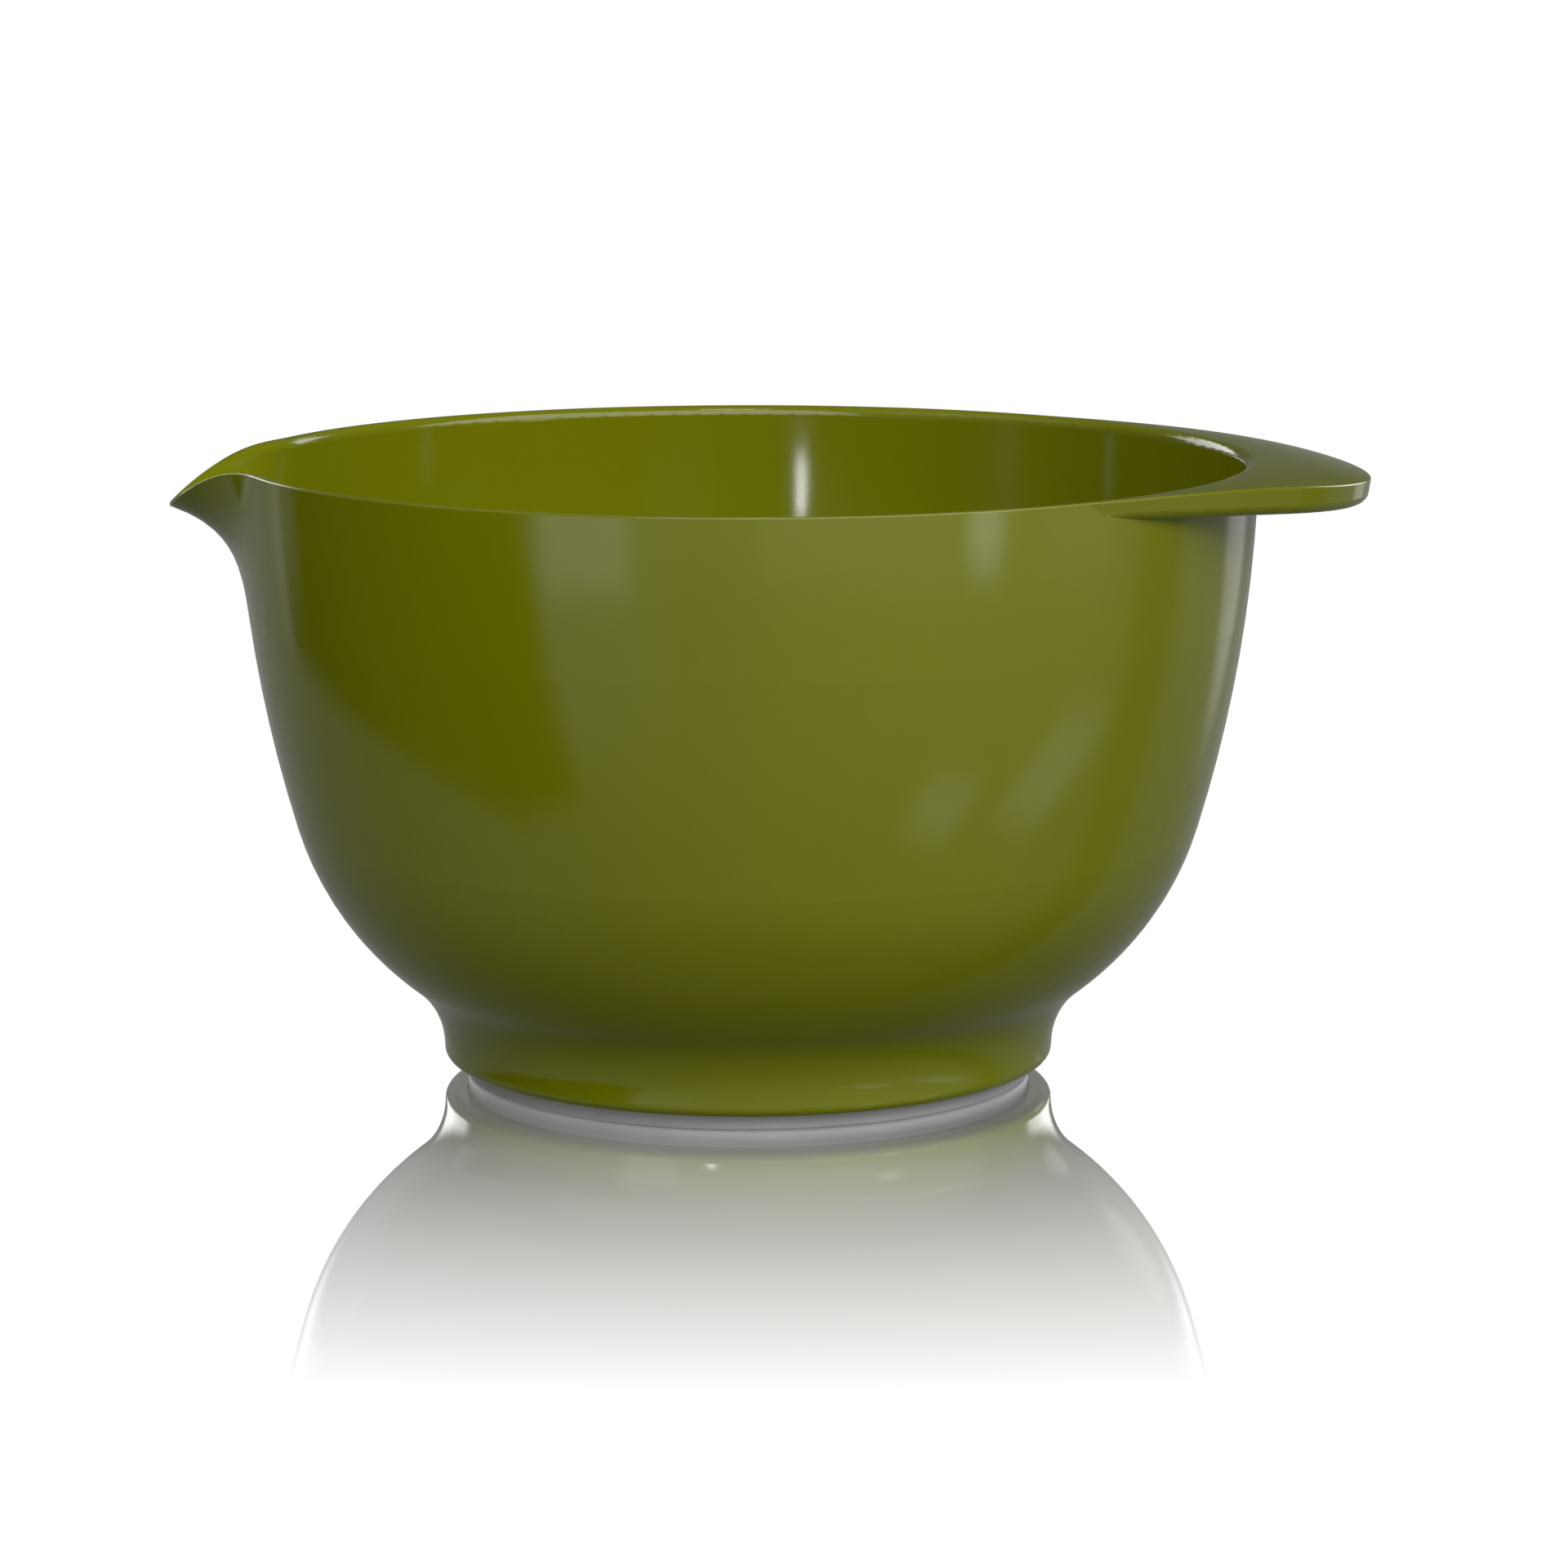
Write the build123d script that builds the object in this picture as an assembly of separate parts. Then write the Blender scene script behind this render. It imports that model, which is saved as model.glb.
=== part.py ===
"""Melamine mixing bowl with a pouring spout, an ear handle and a rubber foot ring.

Millimetres, +Z up. The origin is on the bowl's axis at table level.
The handle points along +X and the spout along -X.
"""
from build123d import *
import os
from math import asin, cos, degrees, hypot, pi, radians, sin, sqrt

os.makedirs("parts", exist_ok=True)

# Bowl wall, seen in section through the axis
bowl_height = 149.25  # rim above the table
rim_radius = 121.8  # outer corner of the rim
rim_lean = 0.73  # degrees that the wall leans outwards at the rim
side_radius = 321.5  # long arc of the upper wall
belly_height = 61.5  # where the long arc meets the belly arc
belly_radius = 74.5
wall = 3.4

# Rim edge
rim_round = 0.5  # crisp outer edge
roll_width = 2.3  # soft inner edge, along the top
roll_depth = 2.4  # soft inner edge, down the inside

# Foot
foot_radius = 73.6
foot_wall = 5.54  # foot outside the ring's groove
foot_gap = 4.0  # foot's underside above the table
foot_round = 2.6
floor_thickness = 4.0  # bowl's floor over the hollow of the foot
lip_width = 3.4  # inner lip that holds the ring
edge_break = 0.4  # small rounds on the foot's underside

# Rubber ring
ring_width = 8.0
ring_seat = 5.2  # how deep the ring sits in its groove
ring_clearance = 0.06
ring_round = 0.6

# Pouring spout
spout_half_angle = 21.0  # degrees to each side of -X
spout_height = 37.25  # how far below the rim the wall starts to swing out
spout_reach = 16.35  # tip beyond the rim corner
spout_drop = 11.8  # underside of the tip below the rim
spout_droop = 1.85  # how late along the spout its edge starts to fall and turn
spout_slope = 71.0  # degrees from upright that the underside leans at the tip
spout_edge = 1.7  # thickness of the edge at the tip
spout_steps = 7  # sections on each side of the tip

# Ear handle
tip_radius = 72.9  # plan radius of the handle's end
handle_reach = 27.6  # end of the handle beyond the rim's corner
flank_radius = 400.0  # plan radius of the handle's sides
flank_sink = 0.25  # how far the sides end inside the rim's outline
crown_radius = 90.0  # arc of the handle's top, seen in section
handle_draft = 9.0  # degrees that the edge of the handle leans inwards
handle_root_drop = 4.05  # underside below the rim, near the two ends of the handle
handle_tip_drop = 10.25  # underside below the rim, at the tip
handle_bulge = 1.0  # how far the underside arches between those
handle_round = 2.6  # lower edge

QUARTER = 0.5523  # handle length that makes a cubic curve follow a quarter circle
SEAM = 0.001  # the spout's ends match the plain wall to within this


def at(radius, height):
    """A point of the section, on the +X side."""
    return Vector(radius, 0, height)


def lean_out(angle):
    """Unit vector in the section that leans outwards from upright by an angle in degrees."""
    return at(sin(radians(angle)), cos(radians(angle)))


def soft_corner(start, peak, end):
    """A rounded corner, tangent to both legs."""
    leave = start + (peak - start) * QUARTER
    arrive = end + (peak - end) * QUARTER
    return Bezier(start, leave, arrive, end)


# The wall is a chain of tangent arcs, and its inside has the same centres
side_centre = at(rim_radius, bowl_height) - at(cos(radians(rim_lean)), -sin(radians(rim_lean))) * side_radius
belly_start = asin((side_centre.Z - belly_height) / side_radius)
belly_centre = side_centre + at(cos(belly_start), -sin(belly_start)) * (side_radius - belly_radius)

# The hollow neck arc touches the belly and ends upright where the foot's round starts
neck_foot = foot_gap + foot_round
neck_span = foot_radius - belly_centre.X
neck_drop = belly_centre.Z - neck_foot
neck_radius = (neck_span**2 + neck_drop**2 - belly_radius**2) / (2 * (belly_radius - neck_span))
neck_centre = at(foot_radius + neck_radius, neck_foot)
neck_start = asin(neck_drop / (belly_radius + neck_radius))

spout_base = bowl_height - spout_height
tip_reach = rim_radius + handle_reach
inner_floor = belly_centre.Z - (belly_radius - wall)
hollow_top = inner_floor - floor_thickness
groove_top = foot_gap + ring_seat
groove_outer = foot_radius - foot_wall
ring_radius = groove_outer - ring_clearance
groove_inner = ring_radius - ring_width - ring_clearance
lip_inner = groove_inner - lip_width


def side_point(height, inset=0.0):
    """The upper wall at a height, on the outside or set in from it."""
    rise = height - side_centre.Z
    return at(side_centre.X + sqrt((side_radius - inset) ** 2 - rise**2), height)


def side_lean(height, inset=0.0):
    """Degrees that the upper wall leans outwards at a height."""
    return degrees(asin((side_centre.Z - height) / (side_radius - inset)))


def side_arc(low, high, inset=0.0):
    middle = side_point((low.Z + high.Z) / 2, inset)
    return ThreePointArc(low, middle, high)


def belly_point(turn, inset=0.0):
    """The belly where its outward direction points down by an angle in radians."""
    return belly_centre + at(cos(turn), -sin(turn)) * (belly_radius - inset)


def belly_arc(start, end, inset=0.0):
    return ThreePointArc(
        belly_point(start, inset),
        belly_point((start + end) / 2, inset),
        belly_point(end, inset),
    )


def mouth(flare):
    """Section of the wall above spout_base: flare is 0 on the plain rim and 1 at the spout's tip."""
    lean = rim_lean + (spout_slope - rim_lean) * flare
    turned = flare**spout_droop
    thickness = wall + (spout_edge - wall) * flare
    size = thickness / wall
    across = at(-cos(pi / 2 * turned), sin(pi / 2 * turned))
    outer = at(rim_radius + spout_reach * flare, bowl_height - spout_drop * turned)
    inner = outer + across * thickness
    outer_end = outer - lean_out(lean) * rim_round * size
    top_start = outer + across * rim_round * size
    top_end = inner - across * roll_width * size
    inner_end = inner - lean_out(lean) * roll_depth * size
    outer_start = side_point(spout_base)
    inner_start = side_point(spout_base, wall)

    def swing(start, start_lean, end):
        """The wall's surface, which leaves its plain line and turns towards the lip."""
        pull = (end - start).length * (1 / 3 + 0.1 * flare)
        leave = start + lean_out(start_lean) * pull
        arrive = end - lean_out(lean) * pull
        return Bezier(start, leave, arrive, end)

    outline = [
        swing(outer_start, side_lean(spout_base), outer_end),
        soft_corner(outer_end, outer, top_start),
        Line(top_start, top_end),
        soft_corner(top_end, inner, inner_end),
        swing(inner_start, side_lean(spout_base, wall), inner_end),
        Line(inner_start, outer_start),
    ]
    return Face(Wire(outline))


def foot_underside():
    """From the foot's round to the middle of the bowl's floor: groove, lip and hollow."""
    return FilletPolyline(
        at(foot_radius - foot_round, foot_gap),
        at(groove_outer, foot_gap),
        at(groove_outer, groove_top),
        at(groove_inner, groove_top),
        at(groove_inner, foot_gap),
        at(lip_inner, foot_gap),
        at(lip_inner, hollow_top),
        at(0, hollow_top),
        radius=edge_break,
    )


def lower_bowl():
    """Wall, neck, foot and floor up to the height where the spout starts."""
    outer_top = side_point(spout_base)
    inner_top = side_point(spout_base, wall)
    foot_side = at(foot_radius, neck_foot)
    foot_edge = at(foot_radius - foot_round, foot_gap)
    floor_rim = at(belly_centre.X, inner_floor)
    neck_middle = neck_centre + at(-cos(neck_start / 2), sin(neck_start / 2)) * neck_radius
    outline = [
        Line(inner_top, outer_top),
        side_arc(belly_point(belly_start), outer_top),
        belly_arc(belly_start, neck_start),
        ThreePointArc(belly_point(neck_start), neck_middle, foot_side),
        soft_corner(foot_side, at(foot_radius, foot_gap), foot_edge),
        *foot_underside().edges(),
        Line(at(0, hollow_top), at(0, inner_floor)),
        Line(at(0, inner_floor), floor_rim),
        belly_arc(pi / 2, belly_start, wall),
        side_arc(belly_point(belly_start, wall), inner_top, wall),
    ]
    return revolve(Face(Wire(outline)), Axis.Z)


def plain_rim():
    """The upper wall and rim, all round except for the spout's sector."""
    section = Rot(0, 0, 180 + spout_half_angle) * mouth(0)
    return revolve(section, Axis.Z, 360 - 2 * spout_half_angle)


def spout():
    """The spout's sector of the wall, through sections that swing out towards the tip."""
    sections = []
    for step in range(-spout_steps, spout_steps + 1):
        share = step / spout_steps
        flare = cos(share * pi / 2) ** 2
        sections.append(Rot(0, 0, 180 + share * spout_half_angle) * mouth(flare))
    return loft(sections)


def handle_plan():
    """Plan of the handle at rim height: a round end between two long flanks, and its root point."""
    pivot = Vector(tip_reach - tip_radius, 0)
    rim_span = flank_radius - (rim_radius - flank_sink)
    tip_span = flank_radius - tip_radius
    # The flank's centre lies rim_span from the bowl's axis and tip_span from the pivot
    along = (rim_span**2 - tip_span**2 + pivot.X**2) / (2 * pivot.X)
    flank_centre = Vector(along, -sqrt(rim_span**2 - along**2))
    root = flank_centre.normalized() * (flank_sink - rim_radius)
    shoulder = pivot + (pivot - flank_centre).normalized() * tip_radius
    middle = flank_centre + ((shoulder + root) * 0.5 - flank_centre).normalized() * flank_radius
    back = root * (1 - 4 * wall / rim_radius)
    half = [Line(back, root), ThreePointArc(root, middle, shoulder)]
    outline = [
        *half,
        *[edge.mirror(Plane.XZ) for edge in half],
        ThreePointArc(shoulder, Vector(tip_reach, 0), Vector(shoulder.X, -shoulder.Y)),
        Line(back, Vector(back.X, -back.Y)),
    ]
    return Pos(0, 0, bowl_height) * Face(Wire(outline)), root


def above_crown():
    """The space over the handle's drooping top, which starts level with the rim."""
    start = at(rim_radius - rim_round, bowl_height)
    centre = start - at(0, crown_radius)
    middle = centre + lean_out(22.5) * crown_radius
    end = centre + lean_out(45) * crown_radius
    outline = [
        ThreePointArc(start, middle, end),
        *Polyline(end, at(end.X, bowl_height), start).edges(),
    ]
    return revolve(Face(Wire(outline)), Axis.Z)


def below_handle(root):
    """The space under the handle: its underside slopes down towards the tip in a shallow arch."""
    root_end = at(root.X - 4 * wall, bowl_height - handle_root_drop)
    tip_end = at(tip_reach, bowl_height - handle_tip_drop)
    middle = (root_end + tip_end) * 0.5 + at(0, handle_bulge)
    deep = tip_end.Z - 4 * wall
    outline = [
        ThreePointArc(root_end, middle, tip_end),
        *Polyline(tip_end, at(tip_end.X, deep), at(root_end.X, deep), root_end).edges(),
    ]
    return extrude(Face(Wire(outline)), 2 * rim_radius, both=True)


def outline_edges(slab, surface):
    """Edges of the handle's top or underside that lie outside the bowl's rim."""
    face = slab.faces().filter_by(surface)[0]
    middles = [(edge, edge @ 0.5) for edge in face.edges()]
    return [edge for edge, middle in middles if hypot(middle.X, middle.Y) > rim_radius]


def handle():
    """The ear: a drafted slab with rounded edges that grows out of the rim."""
    plan, root = handle_plan()
    slab = extrude(plan, handle_tip_drop + wall, (0, 0, -1), taper=handle_draft)
    slab = slab - above_crown() - below_handle(root)
    slab = fillet(outline_edges(slab, GeomType.TORUS), rim_round)
    slab = fillet(outline_edges(slab, GeomType.CYLINDER), handle_round)
    inside = Cylinder(rim_radius - (rim_round + wall - roll_width) / 2, 4 * bowl_height)
    return slab - inside


def bowl_body():
    """One moulding: wall, floor, foot, spout and handle."""
    shell = lower_bowl().fuse(plain_rim(), spout(), tol=SEAM).clean()
    return shell + handle()


def nonslip_ring():
    """Rubber ring: its upper part fills the groove and its lower part stands on the table."""
    outline = FilletPolyline(
        at(ring_radius, 0),
        at(ring_radius, groove_top),
        at(ring_radius - ring_width, groove_top),
        at(ring_radius - ring_width, 0),
        close=True,
        radius=ring_round,
    )
    return revolve(Face(Wire(outline.edges())), Axis.Z)


export_step(bowl_body(), "parts/bowl_body.step")
export_step(nonslip_ring(), "parts/nonslip_ring.step")
print(f"neck radius {neck_radius:.1f}, inside floor at {inner_floor:.1f}, hollow top at {hollow_top:.1f}")
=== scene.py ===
"""Looks of the mixing bowl: glossy olive melamine, a grey rubber ring and a pale studio."""

from math import cos, radians, sin

import bpy
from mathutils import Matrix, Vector

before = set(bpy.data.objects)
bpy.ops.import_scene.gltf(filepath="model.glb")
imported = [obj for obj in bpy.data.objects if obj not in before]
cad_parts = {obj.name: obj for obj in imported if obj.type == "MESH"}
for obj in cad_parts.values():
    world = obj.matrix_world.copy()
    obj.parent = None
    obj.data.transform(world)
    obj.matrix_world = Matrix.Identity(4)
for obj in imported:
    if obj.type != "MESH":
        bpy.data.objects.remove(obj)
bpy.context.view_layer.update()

scene = bpy.context.scene

# Camera, fitted to the photograph's view
CAMERA_PLACE = (0.00870, -1.30930, 0.29336)
CAMERA_DOWN = 9.691  # degrees below level
CAMERA_LENS = 126.34
SENSOR_WIDTH = 36.0

# Floor: where the mirror image starts to fade and where it's gone, in metres from the axis
FLOOR_SIDE = 16
FADE_START, FADE_END = 0.068, 0.2835
FADE_SQUEEZE = 0.6  # the fade reaches further to the sides than to the front
FADE_POWER, MIRROR_SHARE = 0.85, 0.9

LAMP_TARGET = Vector((0, 0, 0.1))
LAMP_DISTANCE = 2.0
DEGREES = 57.2958  # in a radian

# Brightness of the surroundings at each height, in degrees above the horizon
HEIGHT_LEVELS = (
    (-90, 0.07),
    (-60, 0.11),
    (-45, 0.2),
    (-32, 0.3),
    (-18, 0.38),
    (-10, 0.5),
    (0, 0.35),
    (9, 0.12),
    (90, 0.12),
)

# Soft panels: azimuth, elevation, half width, half height, soft edge (degrees), lean, strength
PANELS = (
    (32, 40, 58, 21, 5, 0, 2.9),  # key
    (146, 17, 15, 10, 4, 0, 3.0),  # behind, right
    (-146, 17, 15, 10, 4, 0, 3.0),  # behind, left
    (-75, 52, 36, 14, 8, 0, 0.5),  # fill
    (-36, -3, 10, 12, 3, 0, 0.8),
    (-33, -10, 15, 18, 5, 0, 0.15),
    (25, -6, 22, 9, 4, 0, 0.25),
    (54, -8, 4, 5, 3, 0, 2.0),
    (80, -6, 10, 7, 4, 0, 0.2),
    (51, -33, 7, 3, 2, 1.2, 0.55),
    (81, -27, 7, 5, 3, 1.6, 0.5),
    (-127, -6, 6, 6, 3, 0, 0.2),
)


# ---------------------------------------------------------------- node helpers
def new_tree(owner):
    """An empty node tree on a material or world, with a function that adds nodes."""
    owner.use_nodes = True
    tree = owner.node_tree
    tree.nodes.clear()

    def add(kind, inputs=None, **settings):
        node = tree.nodes.new(kind)
        for name, value in settings.items():
            setattr(node, name, value)
        for socket, value in (inputs or {}).items():
            if isinstance(value, bpy.types.NodeSocket):
                tree.links.new(value, node.inputs[socket])
            else:
                node.inputs[socket].default_value = value
        return node

    return add


def math_node(add, operation, a, b=0.0):
    return add("ShaderNodeMath", {0: a, 1: b}, operation=operation).outputs[0]


def ramp(add, value, low, high, out_low=0.0, out_high=1.0):
    """A smooth step from out_low to out_high as value goes from low to high."""
    inputs = {0: value, 1: low, 2: high, 3: out_low, 4: out_high}
    return add("ShaderNodeMapRange", inputs, interpolation_type="SMOOTHSTEP").outputs[0]


def noise(add, place, scale, detail=3.0, roughness=0.5):
    inputs = {"Vector": place, "Scale": scale, "Detail": detail, "Roughness": roughness}
    return add("ShaderNodeTexNoise", inputs).outputs[0]


def mix_color(add, share, a, b):
    """Color a turning into color b as share goes from 0 to 1."""
    node = add("ShaderNodeMix", data_type="RGBA")
    sockets = [s for s in node.inputs if s.enabled]
    tree = node.id_data
    for socket, value in zip(sockets, (share, a, b)):
        if isinstance(value, bpy.types.NodeSocket):
            tree.links.new(value, socket)
        else:
            socket.default_value = value
    return [s for s in node.outputs if s.enabled][0]


# ---------------------------------------------------------------- materials
def melamine():
    """Olive melamine: deep gloss, a slow drift of tone and the faint waviness of a moulding."""
    material = bpy.data.materials.new("melamine")
    add = new_tree(material)
    place = add("ShaderNodeTexCoord").outputs["Object"]
    drift = noise(add, place, 9.0, 2.0)
    cloud = noise(add, place, 260.0, 4.0, 0.6)
    tone = ramp(add, drift, 0.3, 0.7)
    color = mix_color(add, tone, (0.158, 0.173, 0.0012, 1), (0.168, 0.185, 0.0016, 1))
    color = mix_color(add, ramp(add, cloud, 0.2, 0.8, 0.0, 0.3), color, (0.150, 0.165, 0.001, 1))
    rough = ramp(add, noise(add, place, 45.0, 3.0), 0.2, 0.8, 0.075, 0.115)
    waves = noise(add, place, 30.0, 1.0)
    ripple = add("ShaderNodeBump", {"Height": waves, "Strength": 0.015, "Distance": 0.002})
    fine = noise(add, place, 2400.0, 2.0)
    grain = add(
        "ShaderNodeBump",
        {"Height": fine, "Strength": 0.02, "Distance": 0.0002, "Normal": ripple.outputs[0]},
    )
    shader = add(
        "ShaderNodeBsdfPrincipled",
        {"Base Color": color, "Roughness": rough, "Normal": grain.outputs[0], "IOR": 1.5},
    )
    add("ShaderNodeOutputMaterial", {"Surface": shader.outputs[0]})
    return material


def ring_rubber():
    """Soft grey rubber with a fine matt grain."""
    material = bpy.data.materials.new("ring_rubber")
    add = new_tree(material)
    place = add("ShaderNodeTexCoord").outputs["Object"]
    grain = noise(add, place, 1800.0, 3.0, 0.6)
    tone = noise(add, place, 60.0, 2.0)
    color = mix_color(add, ramp(add, tone, 0.25, 0.75), (0.37, 0.37, 0.372, 1), (0.42, 0.42, 0.422, 1))
    rough = ramp(add, grain, 0.2, 0.8, 0.42, 0.6)
    bump = add("ShaderNodeBump", {"Height": grain, "Strength": 0.12, "Distance": 0.0002})
    shader = add(
        "ShaderNodeBsdfPrincipled",
        {"Base Color": color, "Roughness": rough, "Normal": bump.outputs[0], "IOR": 1.45},
    )
    add("ShaderNodeOutputMaterial", {"Surface": shader.outputs[0]})
    return material


def dress(node, material):
    """The CAD piece keeps its shape and takes the material."""
    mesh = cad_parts[node].data
    mesh.materials.clear()
    mesh.materials.append(material)


dress("bowl_body", melamine())
dress("nonslip_ring", ring_rubber())


# ---------------------------------------------------------------- studio
def aim(thing, place, target):
    """Puts the thing there, looking at the target."""
    thing.location = place
    thing.rotation_euler = (Vector(target) - Vector(place)).to_track_quat("-Z", "Y").to_euler()


def camera():
    """Almost level view from the front, a little above the rim, with a long lens."""
    data = bpy.data.cameras.new("camera")
    data.sensor_width = SENSOR_WIDTH
    data.lens = CAMERA_LENS
    eye = bpy.data.objects.new("camera", data)
    scene.collection.objects.link(eye)
    eye.location = CAMERA_PLACE
    eye.rotation_euler = (radians(90 - CAMERA_DOWN), 0, 0)
    scene.camera = eye


def area_light(name, place, target, size, power):
    """A white rectangular lamp that faces the target."""
    data = bpy.data.lights.new(name, "AREA")
    data.shape = "RECTANGLE"
    data.size, data.size_y = size
    data.energy = power
    lamp = bpy.data.objects.new(name, data)
    scene.collection.objects.link(lamp)
    aim(lamp, place, target)
    return lamp


def floor():
    """A pale polished floor that mirrors the foot and lets the mirror image fade away to white."""
    bpy.ops.mesh.primitive_plane_add(size=FLOOR_SIDE)
    plane = bpy.context.object
    plane.name = "floor"
    material = bpy.data.materials.new("floor")
    add = new_tree(material)
    place = add("ShaderNodeTexCoord").outputs["Object"]
    squeeze = (FADE_SQUEEZE, 1.0, 0.0)
    squeezed = add("ShaderNodeVectorMath", {0: place, 1: squeeze}, operation="MULTIPLY").outputs[0]
    distance = add("ShaderNodeVectorMath", {0: squeezed}, operation="LENGTH").outputs["Value"]
    fade = {0: distance, 1: FADE_START, 2: FADE_END, 3: 1.0, 4: 0.0}
    share = add("ShaderNodeMapRange", fade).outputs[0]
    gloss = math_node(add, "MULTIPLY", math_node(add, "POWER", share, FADE_POWER), MIRROR_SHARE)
    white = add("ShaderNodeEmission", {"Color": (1, 1, 1, 1), "Strength": 1.0}).outputs[0]
    mirror = add("ShaderNodeBsdfGlossy", {"Color": (1, 1, 1, 1), "Roughness": 0.0}).outputs[0]
    both = add("ShaderNodeMixShader", {0: gloss, 1: white, 2: mirror}).outputs[0]
    add("ShaderNodeOutputMaterial", {"Surface": both})
    plane.data.materials.append(material)
    plane.visible_glossy = False
    plane.visible_diffuse = False
    plane.visible_shadow = False


def surroundings():
    """A white studio for the eye and the floor's mirror; the gloss sees soft panels set out by direction."""
    world = bpy.data.worlds.new("studio")
    scene.world = world
    add = new_tree(world)
    direction = add("ShaderNodeTexCoord").outputs["Generated"]
    axes = add("ShaderNodeSeparateXYZ", {0: direction}).outputs
    # Degrees around from the front (-Y) towards the right, and degrees up from the horizon
    around = math_node(add, "ARCTAN2", axes["X"], math_node(add, "MULTIPLY", axes["Y"], -1.0))
    around = math_node(add, "MULTIPLY", around, DEGREES)
    up = math_node(add, "MULTIPLY", math_node(add, "ARCSINE", axes["Z"]), DEGREES)
    aside = math_node(add, "ABSOLUTE", around)

    def minus(a, b):
        return math_node(add, "SUBTRACT", a, b)

    def times(a, b):
        return math_node(add, "MULTIPLY", a, b)

    def plus(a, b):
        return math_node(add, "ADD", a, b)

    def near(value, centre, half, soft, beyond=0.0, within=1.0):
        """One level within half of the centre, then a soft edge to the other."""
        away = math_node(add, "ABSOLUTE", minus(value, centre))
        return ramp(add, away, half - soft, half + soft, within, beyond)

    def panel(azimuth, elevation, half_width, half_height, soft, lean=0.0):
        """A soft-edged panel; lean shifts it sideways by that many degrees per degree of height."""
        shifted = minus(around, times(minus(up, elevation), lean))
        return times(near(shifted, azimuth, half_width, soft), near(up, elevation, half_height, soft))

    share_up = add("ShaderNodeMath", {0: up, 1: 1 / 180, 2: 0.5}, operation="MULTIPLY_ADD").outputs[0]
    heights = add("ShaderNodeValToRGB", {0: share_up})
    elements = heights.color_ramp.elements
    while len(elements) < len(HEIGHT_LEVELS):
        elements.new(0.5)
    for element, (height, level) in zip(elements, HEIGHT_LEVELS):
        element.position = (height + 90) / 180
        element.color = (level, level, level, 1)
    # Dimmer behind, and a darker strip to the right
    level = times(heights.outputs[0], ramp(add, aside, 60, 110, 1.0, 0.58))
    level = times(level, near(around, 106, 8, 3, 1.0, 0.45))

    # A dark panel to the left, with a slanting lower edge
    edge = plus(times(math_node(add, "MAXIMUM", minus(-62.0, around), 0.0), 0.276), -33.0)
    dark = times(ramp(add, minus(up, edge), -1.5, 1.5), ramp(add, up, -6, -3, 1.0, 0.0))
    dark = times(dark, ramp(add, around, -130, -126))
    dark = times(dark, ramp(add, plus(around, times(up, 0.3)), -54, -50, 1.0, 0.0))
    level = times(level, minus(1.0, dark))

    for azimuth, elevation, half_width, half_height, soft, lean, strength in PANELS:
        glow = panel(azimuth, elevation, half_width, half_height, soft, lean)
        level = plus(level, times(glow, strength))
    # A round soft lamp behind on the right
    from_lamp = add("ShaderNodeVectorMath", {0: direction, 1: (0.565, 0.807, -0.125)}, operation="DISTANCE")
    level = plus(level, ramp(add, from_lamp.outputs["Value"], 0.08, 0.17, 0.5, 0.0))

    path = add("ShaderNodeLightPath").outputs
    plain = math_node(add, "MAXIMUM", path["Is Camera Ray"], path["Is Singular Ray"])
    white = add("ShaderNodeBackground", {"Color": (1, 1, 1, 1), "Strength": 1.0}).outputs[0]
    panels = add("ShaderNodeBackground", {"Color": (1, 1, 1, 1), "Strength": level}).outputs[0]
    both = add("ShaderNodeMixShader", {0: plain, 1: panels, 2: white}).outputs[0]
    add("ShaderNodeOutputWorld", {"Surface": both})


def shine_through(lamp, node):
    """The near wall doesn't stop this lamp, so its streak shows on the far wall's inside."""
    blockers = bpy.data.collections.new(lamp.name + " blockers")
    blockers.objects.link(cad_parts[node])
    blockers.collection_objects[0].light_linking.link_state = "EXCLUDE"
    lamp.light_linking.blocker_collection = blockers


def lamp_at(name, azimuth, elevation, size, power):
    """An area lamp that many degrees around and up, facing the bowl."""
    a, e = radians(azimuth), radians(elevation)
    place = LAMP_TARGET + LAMP_DISTANCE * Vector((sin(a) * cos(e), -cos(a) * cos(e), sin(e)))
    return area_light(name, place, LAMP_TARGET, size, power)


camera()
floor()
surroundings()
strip = lamp_at("strip", -13, 3.5, (0.09, 0.2), 0.9)
lamp_at("side", 55, 14, (0.3, 0.04), 0.6)
lamp_at("top", 15, 80, (0.3, 0.12), 2.0)
shine_through(strip, "bowl_body")
scene.view_settings.view_transform = "Standard"
